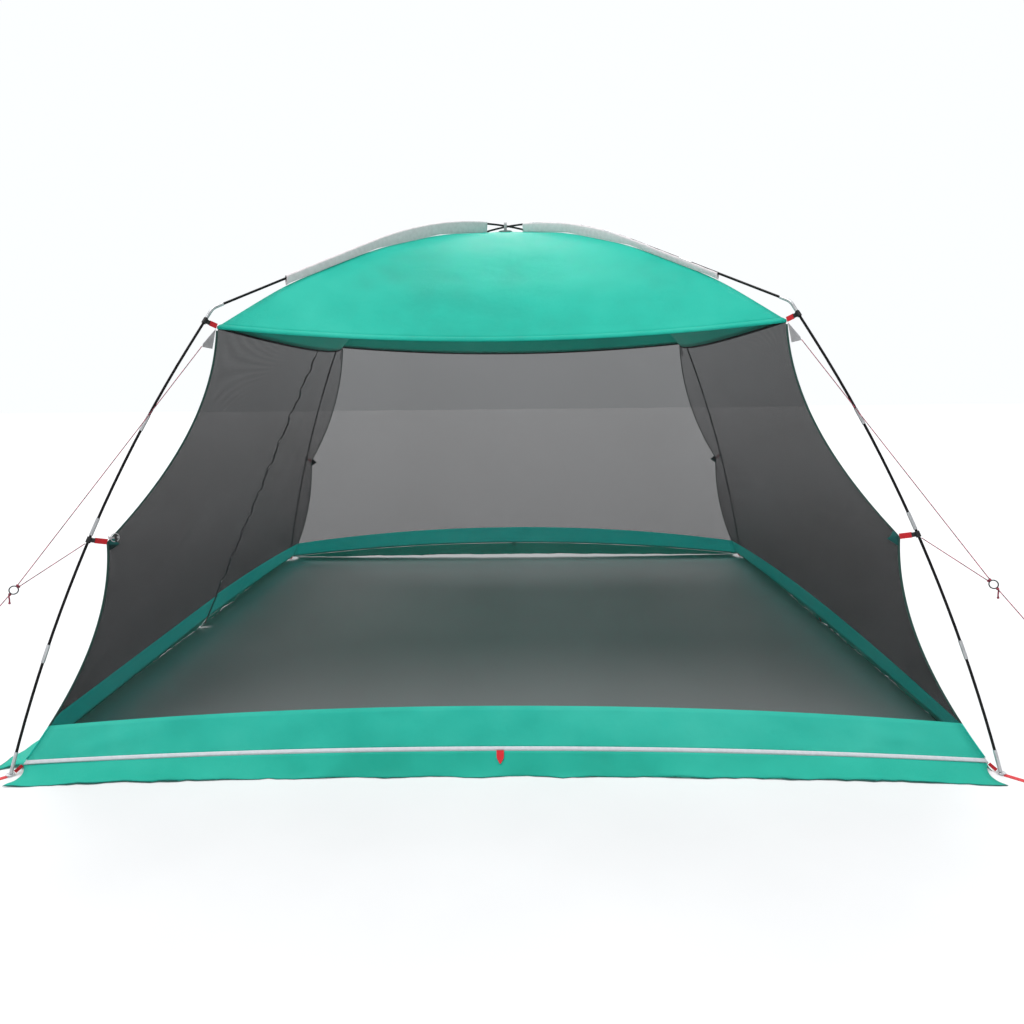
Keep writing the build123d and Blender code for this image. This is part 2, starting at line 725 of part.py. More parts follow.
TIE_CENTRE = at_corner("front_left", (WALL_MIDDLE[0] - 11, WALL_MIDDLE[1] + 17))
TIE_OUT = Vector(1, -1, 0).normalized()
TIE_PLANE = Plane(origin=TIE_CENTRE + TIE_OUT * TIE_STAND, x_dir=(-1, -1, 0), z_dir=TIE_OUT)
with BuildPart() as tie_loop:
    with BuildLine(TIE_PLANE) as loop_path:
        CenterArc((0, 0), 15, 0, 360)
    start = loop_path.wire()
    with BuildSketch(Plane(origin=start @ 0, z_dir=start % 0)):
        Circle(1.4)
    sweep(path=start)
    # The strip that carries the toggle, and the tail sewn to the corner patch
    with BuildSketch(TIE_PLANE.offset(-0.8)):
        Rectangle(30, 7)
    extrude(amount=1.6)
    with BuildSketch(TIE_PLANE.offset(1 - TIE_STAND)):
        with Locations((15, 0)):
            Rectangle(1.8, 9)
    extrude(amount=TIE_STAND - 1)
save(tie_loop, "tie_loop")

with BuildPart() as toggle:
    with BuildSketch(TIE_PLANE.offset(1.2)):
        Circle(1.6)
    extrude(amount=4)
    with BuildSketch(TIE_PLANE.offset(8)):
        SlotOverall(30, 7, rotation=90)
    extrude(amount=3, both=True)
    fillet(toggle.edges().filter_by(GeomType.LINE).sort_by(SortBy.LENGTH)[-4:], 1.2)
save(toggle, "tie_toggle")

# ---------------------------------------------------------------- guy lines

with BuildPart() as tabs:
    for corner in CORNERS:
        sx, sy = CORNERS[corner]
        aside = Vector(-sx, sy, 0).normalized() * GUY_ASIDE
        top, foot = at_corner(corner, (1101, 1541)), at_corner(corner, (1114, 1466))
        apex = Vector(sx * GUY_TAB[0], sy * abs(GUY_TAB[1]), GUY_TAB[2]) + aside
        rise = (top - foot).normalized() * 6
        with BuildSketch(Plane(origin=foot, x_dir=apex - foot, z_dir=(apex - foot).cross(top - foot))) as tab:
            corners = [tab.workplanes[0].to_local_coords(p) for p in (foot, apex - rise, apex + rise, top)]
            with BuildLine():
                Polyline(*((p.X, p.Y) for p in corners), close=True)
            make_face()
        extrude(amount=0.9, both=True)
save(tabs, "guy_tabs")


def guy_cord(sign, start, end, start_gap, end_gap, label):
    a = Vector(sign * start[0], start[1], start[2])
    b = Vector(sign * end[0], end[1], end[2])
    if start is GUY_TAB:
        a += Vector(-sign, -1, 0).normalized() * GUY_ASIDE
    way = (b - a).normalized()
    first, last = a + way * start_gap, b - way * end_gap
    with BuildPart() as cord:
        with BuildSketch(Plane(origin=first, z_dir=way)):
            Circle(CORD_RADIUS)
        extrude(amount=(last - first).length)
    save(cord, label)
    print(label, "one straight run of", round((last - first).length, 1), "volume", round(cord.part.volume))


for name, sign in (("left", -1), ("right", 1)):
    gap = RING_RADIUS + RING_WIRE + 0.6
    guy_cord(sign, GUY_TAB, GUY_RING, 5, gap, f"guy_upper_{name}")
    guy_cord(sign, GUY_MIDDLE, GUY_RING, 1, gap, f"guy_lower_{name}")
    guy_cord(sign, GUY_RING, GUY_GROUND, gap, 3, f"guy_anchor_{name}")

with BuildPart() as rings:
    for sign in (-1, 1):
        centre = Vector(sign * GUY_RING[0], GUY_RING[1], GUY_RING[2])
        facing = Vector(sign, 1, 0).normalized()
        with BuildLine(Plane(origin=centre, z_dir=facing)) as circle:
            CenterArc((0, 0), RING_RADIUS, 0, 360)
        loop = circle.wire()
        with BuildSketch(Plane(origin=loop @ 0, z_dir=loop % 0)):
            Circle(RING_WIRE)
        sweep(path=loop)
save(rings, "guy_rings")

print("pole length", round(2 * half_pole("front_left")), "leg", round(LEG_LENGTH))
for corner in ("front_left", "back_left"):
    print("hooks", [(round(p[2][0]), round(p[2][1])) for p in hook_pairs(corner)])
print("zip foot", ZIP_FOOT, "zip head", ZIP_HEAD, "zip length", ZIP_LENGTH)
print("fold from", DOOR_CORNER, "direction", FOLD_DIRECTION, "outward", OUTWARD, "forward", FORWARD)
print("zip direction", ZIP_DIRECTION, "pull pivot", side_plane.origin)
print("toggle axis", TIE_PLANE.origin, TIE_OUT, "peg eye reach", PEG_EYE / DIAGONAL)
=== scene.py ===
import math

import bpy
import numpy as np
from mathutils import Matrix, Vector, noise


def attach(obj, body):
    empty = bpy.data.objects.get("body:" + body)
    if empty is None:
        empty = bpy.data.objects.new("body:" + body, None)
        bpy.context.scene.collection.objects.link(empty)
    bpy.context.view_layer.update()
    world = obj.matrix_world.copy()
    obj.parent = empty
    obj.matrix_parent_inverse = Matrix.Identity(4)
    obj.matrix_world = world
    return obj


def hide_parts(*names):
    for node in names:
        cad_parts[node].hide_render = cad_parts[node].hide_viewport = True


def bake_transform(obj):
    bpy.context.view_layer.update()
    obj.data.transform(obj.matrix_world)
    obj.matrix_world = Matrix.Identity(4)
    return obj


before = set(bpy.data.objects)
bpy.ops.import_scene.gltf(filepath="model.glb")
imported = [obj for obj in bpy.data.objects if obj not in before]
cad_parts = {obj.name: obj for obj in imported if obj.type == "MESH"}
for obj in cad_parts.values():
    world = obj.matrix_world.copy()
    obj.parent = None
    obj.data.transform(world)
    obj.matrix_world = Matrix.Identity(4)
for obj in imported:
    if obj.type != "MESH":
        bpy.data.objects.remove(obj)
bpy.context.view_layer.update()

# ---------------------------------------------------------------- driving sizes, metres, as in the CAD
TAPE_CORNER = (1.669, 0.028)
WALL_MIDDLE = (1.425, 0.770)
ROOF_CORNER = (1.094, 1.551)
RIDGE = ((0, 2.072), (0.300, 2.014), (0.560, 1.914), (0.865, 1.738), (0.945, 1.676), ROOF_CORNER)
PEAK_OPENING = 0.020
ROOF_EDGE_BOW, ROOF_EDGE_SAG = 0.112, 0.055
SEAM_BOW_LOW, SEAM_BOW_HIGH = 0.058, 0.070
SIDES = ("front", "right", "back", "left")
CORNERS = {"front_left": (-1, -1), "front_right": (1, -1), "back_right": (1, 1), "back_left": (-1, 1)}
TAPE_RISE = {"front": 0.050, "right": 0.025, "back": 0.095, "left": 0.025}
HEM_RISE = {"front": 0, "right": 0, "back": 0.026, "left": 0}
BAND_SHARE, BAND_TAPER = 0.094, 0.02
HEM_REACH, HEM_FLARE, HEM_TUCK, HEM_NICK, HEM_SCALLOP = 1.722, 0.068, -0.032, 0.027, 0.015
TAPE_SHARE = 0.0072
EDGE_SHARE = 0.006
ZIP_MARGIN = 0.009
RIDGE_HEIGHT, POLE_SLOPE = 2.275, 0.41914
CROWN, POLE_ARC = 2.098, 2.100
SLEEVE_START, SLEEVE_END = 0.880, 0.092
DIAGONAL = math.sqrt(2)


def srgb(r, g, b):
    """A colour given as 0 to 255, as the linear values that shaders take."""
    return tuple(((v / 255 + 0.055) / 1.055) ** 2.4 if v > 10 else v / 255 / 12.92 for v in (r, g, b)) + (1,)


# ---------------------------------------------------------------- material nodes


class Shader:
    """A material with a Principled shader, and short calls for the nodes that feed it."""

    def __init__(self, name, rough, metallic=0.0, coat=0.0, sheen=0.0):
        self.material = bpy.data.materials.new(name)
        self.material.use_nodes = True
        self.nodes = self.material.node_tree.nodes
        self.links = self.material.node_tree.links
        self.shader = self.nodes["Principled BSDF"]
        self.shader.inputs["Roughness"].default_value = rough
        self.shader.inputs["Metallic"].default_value = metallic
        self.shader.inputs["Coat Weight"].default_value = coat
        self.shader.inputs["Sheen Weight"].default_value = sheen
        self.place = self.nodes.new("ShaderNodeTexCoord")
        self.output = self.nodes["Material Output"]

    def link(self, start, end):
        self.links.new(start, end)

    def stretched(self, source, scale):
        mapping = self.nodes.new("ShaderNodeMapping")
        mapping.inputs["Scale"].default_value = scale
        self.link(self.place.outputs[source], mapping.inputs["Vector"])
        return mapping.outputs["Vector"]

    def noise(self, source="Object", scale=(1, 1, 1), size=8.0, detail=4.0):
        texture = self.nodes.new("ShaderNodeTexNoise")
        texture.inputs["Scale"].default_value = size
        texture.inputs["Detail"].default_value = detail
        self.link(self.stretched(source, scale), texture.inputs["Vector"])
        return texture.outputs["Fac"]

    def bands(self, source, direction, pitch, distortion=0.0):
        """Even bands, one each pitch in metres, from 0 to 1."""
        texture = self.nodes.new("ShaderNodeTexWave")
        texture.wave_type = "BANDS"
        texture.bands_direction = direction
        texture.inputs["Scale"].default_value = math.pi / (10 * pitch)
        texture.inputs["Distortion"].default_value = distortion
        self.link(self.place.outputs[source], texture.inputs["Vector"])
        return texture.outputs["Fac"]

    def sum(self, a, b, operation="ADD"):
        node = self.nodes.new("ShaderNodeMath")
        node.operation = operation
        for socket, value in zip(node.inputs, (a, b)):
            if isinstance(value, (int, float)):
                socket.default_value = value
            else:
                self.link(value, socket)
        return node.outputs[0]

    def colours(self, fac, stops):
        """fac turned to colour by stops of (position, colour)."""
        ramp = self.nodes.new("ShaderNodeValToRGB")
        elements = ramp.color_ramp.elements
        while len(elements) < len(stops):
            elements.new(0.5)
        for element, (position, colour) in zip(elements, stops):
            element.position = position
            element.color = colour
        self.link(fac, ramp.inputs["Fac"])
        self.link(ramp.outputs["Color"], self.shader.inputs["Base Color"])
        return ramp.outputs["Color"]

    def roughness(self, fac, low, high):
        spread = self.nodes.new("ShaderNodeMapRange")
        spread.inputs["To Min"].default_value = low
        spread.inputs["To Max"].default_value = high
        self.link(fac, spread.inputs["Value"])
        self.link(spread.outputs["Result"], self.shader.inputs["Roughness"])

    def bump(self, height, depth, strength=0.6):
        node = self.nodes.new("ShaderNodeBump")
        node.inputs["Distance"].default_value = depth
        node.inputs["Strength"].default_value = strength
        self.link(height, node.inputs["Height"])
        self.link(node.outputs["Normal"], self.shader.inputs["Normal"])
        return node.outputs["Normal"]

    def see_through(self, opacity, tint, normal):
        """Lets light through the cloth from behind: all but a share opacity of it, tinted."""
        glow = self.nodes.new("ShaderNodeBsdfTranslucent")
        glow.inputs["Color"].default_value = tint
        self.link(normal, glow.inputs["Normal"])
        mix = self.nodes.new("ShaderNodeMixShader")
        mix.inputs["Fac"].default_value = opacity
        self.link(glow.outputs[0], mix.inputs[1])
        self.link(self.shader.outputs[0], mix.inputs[2])
        self.link(mix.outputs[0], self.output.inputs["Surface"])


def coated_cloth(name, dark, middle, light, opacity, tint):
    """Coated polyester: a fine plain weave, random tone with painted shade where its soft creases dip, and light
    through it.
    """
    s = Shader(name, 0.42, sheen=0.04)
    s.shader.inputs["Specular IOR Level"].default_value = 0.28
    weave = s.sum(s.bands("UV", "X", 0.0011), s.bands("UV", "Y", 0.0011), "MULTIPLY")
    crease_and_painted_shade = s.noise("Object", (1, 1, 1), 9.0, 5.0)
    cloud = s.noise("Object", (1, 1, 1), 1.7, 2.0)
    # The crease noise feeds the tone as well as the bump, so the cloth is painted darker where its creases dip:
    # painted shade.
    tone = s.sum(s.sum(cloud, 0.7, "MULTIPLY"), s.sum(crease_and_painted_shade, 0.3, "MULTIPLY"))
    s.colours(tone, [(0.30, dark), (0.5, middle), (0.72, light)])
    s.roughness(crease_and_painted_shade, 0.34, 0.55)
    height = s.sum(s.sum(weave, 0.06, "MULTIPLY"), crease_and_painted_shade)
    normal = s.bump(height, 0.014, 0.5)
    s.see_through(opacity, tint, normal)
    return s.material


def screen_mesh(name, thread, light_thread, cover=0.50, painted_shade_cover=0.0):
    """Insect mesh: fine threads both ways with holes between them, made denser lower down as painted shade over
    the shaded ground seen through it.
    """
    s = Shader(name, 0.6)
    s.shader.inputs["Specular IOR Level"].default_value = 0.12
    across, along = s.bands("UV", "X", 0.0026), s.bands("UV", "Y", 0.0026)
    threads = s.sum(across, along, "MAXIMUM")
    cloud = s.noise("Object", (1, 1, 1), 2.4, 3.0)
    s.colours(cloud, [(0.35, thread), (0.65, light_thread)])
    s.bump(threads, 0.0004, 0.4)
    spread = s.nodes.new("ShaderNodeMapRange")
    spread.inputs["From Min"].default_value = 0.0
    spread.inputs["From Max"].default_value = 1.0
    spread.inputs["To Min"].default_value = cover - 0.30
    spread.inputs["To Max"].default_value = cover + 0.14
    s.link(threads, spread.inputs["Value"])
    height = s.nodes.new("ShaderNodeSeparateXYZ")
    s.link(s.place.outputs["Object"], height.inputs["Vector"])
    # Painted shade: extra cover from none at 1.5 m up to its full amount at 0.3 m and below, darkening the ground
    # seen through the lower wall.
    lower = s.nodes.new("ShaderNodeMapRange")
    lower.inputs["From Min"].default_value = 1.5
    lower.inputs["From Max"].default_value = 0.3
    lower.inputs["To Max"].default_value = painted_shade_cover
    s.link(height.outputs["Z"], lower.inputs["Value"])
    cover_and_painted_shade = s.sum(spread.outputs["Result"], lower.outputs["Result"])
    clear = s.nodes.new("ShaderNodeBsdfTransparent")
    mix = s.nodes.new("ShaderNodeMixShader")
    s.link(cover_and_painted_shade, mix.inputs["Fac"])
    s.link(clear.outputs[0], mix.inputs[1])
    s.link(s.shader.outputs[0], mix.inputs[2])
    s.link(mix.outputs[0], s.output.inputs["Surface"])
    return s.material


def webbing(name, dark, light, pitch=0.0022, source="Object", rough=0.7):
    """Woven tape or webbing: slanting ribs and a little wear."""
    s = Shader(name, rough, sheen=0.25)
    upwards = "Z" if source == "Object" else "Y"
    ribs = s.sum(s.bands(source, "X", pitch, 0.6), s.bands(source, upwards, pitch, 0.6))
    wear = s.noise("Object", (1, 1, 1), 60.0, 4.0)
    tone = s.sum(s.sum(ribs, 0.3, "MULTIPLY"), s.sum(wear, 0.6, "MULTIPLY"))
    s.colours(tone, [(0.25, dark), (0.75, light)])
    s.roughness(wear, rough - 0.1, rough + 0.15)
    s.bump(s.sum(ribs, wear), 0.0006, 0.5)
    return s.material


def rod(name, dark, light, rough, metallic=0.0, coat=0.0, size=30.0, gloss=0.5):
    """Hard round stock or mouldings: fine drawn grain, faint scratches and dusty patches."""
    s = Shader(name, rough, metallic, coat)
    s.shader.inputs["Specular IOR Level"].default_value = gloss
    grain = s.noise("Object", (90, 90, 9), 3.0, 5.0)
    dust = s.noise("Object", (1, 1, 1), size, 6.0)
    tone = s.sum(s.sum(grain, 0.5, "MULTIPLY"), s.sum(dust, 0.5, "MULTIPLY"))
    s.colours(tone, [(0.32, dark), (0.68, light)])
    s.roughness(dust, max(rough - 0.1, 0.05), rough + 0.14)
    s.bump(grain, 0.0003, 0.4)
    return s.material


def braided(name, base, fleck, pale):
    """Guy cord: a pink braid with dark tracer flecks."""
    s = Shader(name, 0.65, sheen=0.3)
    braid = s.bands("UV", "X", 0.006, 1.0)
    flecks = s.noise("Object", (1, 1, 1), 170.0, 2.0)
    s.colours(flecks, [(0.40, fleck), (0.50, base), (0.68, pale)])
    s.bump(s.sum(braid, flecks), 0.0006, 0.6)
    return s.material


MATERIALS = {
    "turquoise_fabric": coated_cloth(
        "turquoise cloth", srgb(18, 196, 174), srgb(36, 218, 194), srgb(64, 232, 208), 0.60, srgb(34, 226, 216)
    ),
    "band": coated_cloth(
        "turquoise band", srgb(44, 192, 168), srgb(64, 212, 188), srgb(88, 226, 202), 0.50, srgb(60, 240, 238)
    ),
    "skirt": coated_cloth(
        "turquoise skirt", srgb(30, 184, 160), srgb(44, 204, 180), srgb(60, 218, 194), 0.60, srgb(50, 200, 190)
    ),
    "patch": coated_cloth(
        "dark teal patch", srgb(10, 74, 72), srgb(16, 92, 88), srgb(24, 108, 102), 0.8, srgb(16, 100, 92)
    ),
    "dark_binding": webbing("dark green binding", srgb(8, 44, 38), srgb(20, 76, 66), 0.003, "UV"),
    "white_tape": webbing("white tape", srgb(180, 184, 190), srgb(212, 215, 220), 0.0030, "UV"),
    "light_grey_fabric": webbing(
        "grey sleeve cloth", srgb(204, 196, 198), srgb(238, 231, 233), 0.0030, "UV", 0.75
    ),
    "grey_tab": webbing("grey sewn tape", srgb(150, 148, 150), srgb(196, 194, 196), 0.0020),
    # The last number of each insect mesh is its extra cover lower down, which is painted shade.
    "black_mesh": screen_mesh("black insect mesh", srgb(14, 15, 16), srgb(34, 35, 37), 0.54, 0.07),
    "side_mesh": screen_mesh(
        "black insect mesh on the slant", srgb(12, 13, 14), srgb(26, 27, 29), 0.76, 0.20
    ),
    "red_webbing": webbing("red webbing", srgb(178, 4, 18), srgb(222, 12, 32)),
    "pole_black": rod("black fibreglass", srgb(3, 3, 4), srgb(12, 12, 13), 0.42, gloss=0.22),
    "grey_metal": rod("grey steel", srgb(176, 178, 180), srgb(222, 224, 226), 0.38, metallic=0.6),
    "dark_metal": rod("dark steel", srgb(24, 28, 28), srgb(62, 68, 68), 0.36, metallic=0.7),
    "black_plastic": rod("black moulded plastic", srgb(12, 12, 12), srgb(34, 34, 34), 0.45, size=120.0),
    "zip_black": rod("zip teeth", srgb(16, 16, 18), srgb(60, 62, 66), 0.3, coat=0.4, size=300.0),
    "zip_tape": webbing("zip tape", srgb(14, 16, 17), srgb(40, 42, 44), 0.0014, "UV"),
    "zip_metal": rod("zip metal", srgb(90, 94, 98), srgb(150, 154, 158), 0.3, metallic=0.9, size=200.0),
    "guy_cord": braided("guy cord", srgb(158, 34, 64), srgb(44, 12, 24), srgb(188, 78, 104)),
    "elastic_cord": webbing("shock cord", srgb(190, 190, 186), srgb(228, 228, 224), 0.0015),
}


def paint(obj, material):
    obj.data.materials.clear()
    obj.data.materials.append(MATERIALS[material])


# ---------------------------------------------------------------- camera, light and floor

camera_data = bpy.data.cameras.new("camera")
camera_data.sensor_width = 36.0
camera_data.lens = 28.68
camera = bpy.data.objects.new("camera", camera_data)
bpy.context.scene.collection.objects.link(camera)
CAMERA_AT = (0.098, -4.311, 1.349)
CAMERA_DOWN, CAMERA_LEFT, CAMERA_ROLL = 9.44, 0.96, 0.6
camera.location = CAMERA_AT
camera.rotation_euler = (math.radians(90 - CAMERA_DOWN), math.radians(CAMERA_ROLL), math.radians(CAMERA_LEFT))
bpy.context.scene.camera = camera


def softbox(name, energy, direction):
    """A broad, distant light that shines in a direction."""
    light = bpy.data.lights.new(name, "SUN")
    light.energy = energy
    light.angle = math.radians(40)
    lamp = bpy.data.objects.new(name, light)
    lamp.rotation_euler = Vector(direction).to_track_quat("-Z", "Y").to_euler()
    bpy.context.scene.collection.objects.link(lamp)


softbox("overhead softbox", 3.05, (0.18, 0.16, -1.0))
softbox("back softbox", 1.3, (0.06, -1.0, -0.75))


def studio_world(soft, white):
    """Even light of strength soft, with a plain white backdrop behind the object."""
    world = bpy.data.worlds.new("studio")
    world.use_nodes = True
    nodes, links = world.node_tree.nodes, world.node_tree.links
    background = nodes["Background"]
    background.inputs["Color"].default_value = (0.96, 0.98, 1.0, 1)
    seen = nodes.new("ShaderNodeLightPath")
    spread = nodes.new("ShaderNodeMapRange")
    spread.inputs["To Min"].default_value = soft
    spread.inputs["To Max"].default_value = white
    links.new(seen.outputs["Is Camera Ray"], spread.inputs["Value"])
    links.new(spread.outputs["Result"], background.inputs["Strength"])
    bpy.context.scene.world = world


studio_world(0.42, 1.02)
bpy.context.scene.view_settings.view_transform = "Standard"

FLOOR = 30.0
floor_data = bpy.data.meshes.new("floor")
floor_corners = [(-FLOOR, -FLOOR, 0), (FLOOR, -FLOOR, 0), (FLOOR, FLOOR, 0), (-FLOOR, FLOOR, 0)]
floor_data.from_pydata(floor_corners, [], [(0, 1, 2, 3)])
floor = bpy.data.objects.new("floor", floor_data)
bpy.context.scene.collection.objects.link(floor)
pale = Shader("pale floor", 0.8)
pale_stops = [(0.3, srgb(218, 218, 219)), (0.7, srgb(222, 222, 223))]
pale.colours(pale.noise("Object", (1, 1, 1), 1.5, 3.0), pale_stops)
floor.data.materials.append(pale.material)

# ---------------------------------------------------------------- the shape of the walls, skirts and roof


def to_side(side, along, out, height):
    """A point given along a side, outwards from the centre and upwards."""
    x, y = along, -out
    for _ in range(SIDES.index(side)):
        x, y = -y, x
    return Vector((x, y, height))


def seam_offset(share):
    """How far a corner seam stands out from the straight line, tape corner to roof corner."""
    middle = (WALL_MIDDLE[1] - TAPE_CORNER[1]) / (ROOF_CORNER[1] - TAPE_CORNER[1])
    chord = TAPE_CORNER[0] + (ROOF_CORNER[0] - TAPE_CORNER[0]) * middle
    pull = WALL_MIDDLE[0] - chord
    if share < middle:
        t = share / middle
        return pull * t - SEAM_BOW_LOW * 4 * t * (1 - t)
    t = (share - middle) / (1 - middle)
    return pull * (1 - t) - SEAM_BOW_HIGH * 4 * t * (1 - t)


def wall_point(side, u, share):
    """A point of a wall: u from -1 to 1 along it, share from 0 at the tape to 1 at the roof edge."""
    dip = 1 - u * u
    low = (u * TAPE_CORNER[0], TAPE_CORNER[0], TAPE_CORNER[1] + TAPE_RISE[side] * dip)
    high = (u * ROOF_CORNER[0], ROOF_CORNER[0] - ROOF_EDGE_BOW * dip, ROOF_CORNER[1] - ROOF_EDGE_SAG * dip)
    along, out, height = (a + (b - a) * share for a, b in zip(low, high))
    pull = seam_offset(share)
    return to_side(side, along + u * abs(u) * pull, out + u * u * pull, height)


def band_share(u):
    return BAND_SHARE - BAND_TAPER * u * u


def skirt_point(side, u, t):
    """A point of a skirt: t from 0 at the tape to 1 at the hem on the ground."""
    dip = 1 - u * u
    flare = HEM_TUCK if side == "right" and u < 0 else HEM_FLARE
    top = (u * TAPE_CORNER[0], TAPE_CORNER[0] + 0.002, TAPE_CORNER[1] + TAPE_RISE[side] * dip - 0.003)
    hem = (u * (TAPE_CORNER[0] + 0.008), HEM_REACH + flare * u * u, 0.0012 + HEM_RISE[side] * dip * dip)
    along, out = (a + (b - a) * t for a, b in zip(top[:2], hem[:2]))
    number = SIDES.index(side)
    scallop = noise.noise(Vector((u * 11, number, 0))) + 0.6 * noise.noise(Vector((u * 37, number, 3)))
    out -= HEM_SCALLOP * (0.6 + scallop) * t**4
    along -= HEM_NICK * 4 * t * (1 - t) * u**7
    return to_side(side, along, out, hem[2] + (top[2] - hem[2]) * (1 - t) ** 1.5)


def ridge_height(reach):
    return float(np.interp(reach, [r for r, z in RIDGE], [z for r, z in RIDGE]))


def smooth_ridge(reach):
    """The ridge's height with its corners eased over 60 mm each way."""
    room = min(0.06, reach, ROOF_CORNER[0] - reach)
    return sum(ridge_height(reach + room * k / 3) for k in range(-3, 4)) / 7


def roof_point(side, u, reach):
    dip = (1 - u * u) * (reach / ROOF_CORNER[0]) ** 2
    return to_side(side, u * reach, reach - ROOF_EDGE_BOW * dip, smooth_ridge(reach) - ROOF_EDGE_SAG * dip)


# The door half of the left wall: flat from the zip to the fold line, then curved to the corner seam
ZIP_FOOT = wall_point("left", 0, 0)
ZIP_HEAD = wall_point("left", 0, 1)
DOOR_CORNER = Vector((-TAPE_CORNER[0], -TAPE_CORNER[0], TAPE_CORNER[1]))
ROOF_END = Vector((-ROOF_CORNER[0], -ROOF_CORNER[0], ROOF_CORNER[1]))
ZIP_UP = (ZIP_HEAD - ZIP_FOOT).normalized()
ZIP_LENGTH = (ZIP_HEAD - ZIP_FOOT).length
FOLD = (ZIP_HEAD - DOOR_CORNER).normalized()
OUTWARD = (DOOR_CORNER - ZIP_FOOT).cross(ZIP_UP).normalized()
if OUTWARD.x > 0:
    OUTWARD = -OUTWARD
FORWARD = ZIP_UP.cross(OUTWARD)
FOLD_TO_ZIP = OUTWARD.cross(FOLD)
if FOLD_TO_ZIP.dot(ZIP_FOOT - DOOR_CORNER) < 0:
    FOLD_TO_ZIP = -FOLD_TO_ZIP


def swayed(point):
    """A point of the left wall, moved with the loose zip's slight waves, which die out 0.2 m from it."""
    height = (point - ZIP_FOOT).dot(ZIP_UP)
    away = (point - ZIP_FOOT).dot(FORWARD)
    hold = min(max((height - 0.10) / 0.12, 0), 1) * min(max((ZIP_LENGTH - height) / 0.12, 0), 1)
    wave = 0.0062 * math.sin(height * 37) + 0.0044 * math.sin(height * 83 + 1)
    return point + (FORWARD + OUTWARD * 0.5) * (wave * hold * math.exp(-((away / 0.10) ** 2)))


def door_half_point(t, v):
    """A point of the left wall's front half: t from 0 at the zip to 1 at the seam, v up it."""
    zip_side = ZIP_FOOT.lerp(ZIP_HEAD, v)
    fold = DOOR_CORNER.lerp(ZIP_HEAD, v)
    seam = wall_point("left", 1, v)
    flat, curved = (fold - zip_side).length, (seam - fold).length
    along = ZIP_MARGIN + (flat + curved - ZIP_MARGIN) * t
    if along <= flat or curved < 1e-6:
        return zip_side.lerp(fold, min(along / max(flat, 1e-6), 1))
    t = (along - flat) / curved
    bow = wall_point("left", t, 1) - ZIP_HEAD.lerp(ROOF_END, t)
    return fold.lerp(seam, t) + bow * v**3


# ---------------------------------------------------------------- cloth built as fine grids


def spaced(start, end, count):
    return [start + (end - start) * i / count for i in range(count + 1)]


GROUND_GAP = 0.0012
CLOTH = 0.0008
HEM_FROM = 0.97


def cut_size(points):
    """The width, length and area that a grid of points takes of flat cloth."""
    width = np.linalg.norm(np.diff(points, axis=1), axis=2).sum(axis=1).max()
    length = np.linalg.norm(np.diff(points, axis=0), axis=2).sum(axis=0).max()
    cells = np.cross(points[1:, 1:] - points[:-1, :-1], points[1:, :-1] - points[:-1, 1:])
    return float(width), float(length), float(np.linalg.norm(cells, axis=2).sum() / 2)


def grid_object(name, rows, material, wave=None, thickness=0.0, proud=0.0):
    """A smooth sheet through rows of points. wave(i, j, point) moves a point along its normal."""
    points = np.array([[tuple(p) for p in row] for row in rows], float)
    count_v, count_u = points.shape[:2]
    cut_size(points)
    normals = np.cross(np.gradient(points, axis=1), np.gradient(points, axis=0))
    lengths = np.linalg.norm(normals, axis=2, keepdims=True)
    normals = normals / np.maximum(lengths, 1e-12)
    if proud:
        points = points + normals * proud
    if wave:
        lift = [
            [wave(i / (count_v - 1), j / (count_u - 1), points[i, j]) for j in range(count_u)]
            for i in range(count_v)
        ]
        points = points + normals * np.array(lift)[:, :, None]
        points[:, :, 2] = np.maximum(points[:, :, 2], GROUND_GAP)
    u = np.insert(np.cumsum(np.linalg.norm(np.diff(points, axis=1), axis=2), axis=1), 0, 0, axis=1)
    u = u - u[:, -1:] / 2
    v = np.insert(np.cumsum(np.linalg.norm(np.diff(points, axis=0), axis=2), axis=0), 0, 0, axis=0)
    faces = []
    for i in range(count_v - 1):
        for j in range(count_u - 1):
            a = i * count_u + j
            faces.append((a, a + 1, a + count_u + 1, a + count_u))
    mesh = bpy.data.meshes.new(name)
    mesh.from_pydata([tuple(p) for p in points.reshape(-1, 3)], [], faces)
    layer = mesh.uv_layers.new(name="UVMap")
    flat_u, flat_v = u.reshape(-1), v.reshape(-1)
    for loop in mesh.loops:
        layer.data[loop.index].uv = (flat_u[loop.vertex_index], flat_v[loop.vertex_index])
    mesh.shade_smooth()
    obj = bpy.data.objects.new(name, mesh)
    bpy.context.scene.collection.objects.link(obj)
    paint(obj, material)
    if thickness:
        solid = obj.modifiers.new("thickness", "SOLIDIFY")
        solid.thickness = thickness
        solid.offset = 0
    return obj


def on_house(obj, slot, *nodes):
    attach(obj, "house")
    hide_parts(*nodes)
    return obj


def folds_with_door(obj, slot, *nodes):
    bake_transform(obj)
    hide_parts(*nodes)
    return obj


def ruffle(point, size, seed):
    return noise.noise(Vector((point[0] * size + seed, point[1] * size - seed, point[2] * size)))


def wall_wave(i, j, point):
    """Soft tension folds of a mesh wall, still at its sewn edges."""
    hold = math.sin(math.pi * i) * math.sin(math.pi * j)
    return hold * (0.006 * ruffle(point, 2.6, 3.0) + 0.002 * ruffle(point, 9.0, 8.0))


def from_corner(point):
    """The distance to the nearest tape corner along the ground, and the angle of the way there."""
    dx, dy = abs(point[0]) - TAPE_CORNER[0], abs(point[1]) - TAPE_CORNER[0]
    away = math.hypot(dx, dy)
    return away, math.atan2(point[2] - TAPE_CORNER[1], away + 0.02)


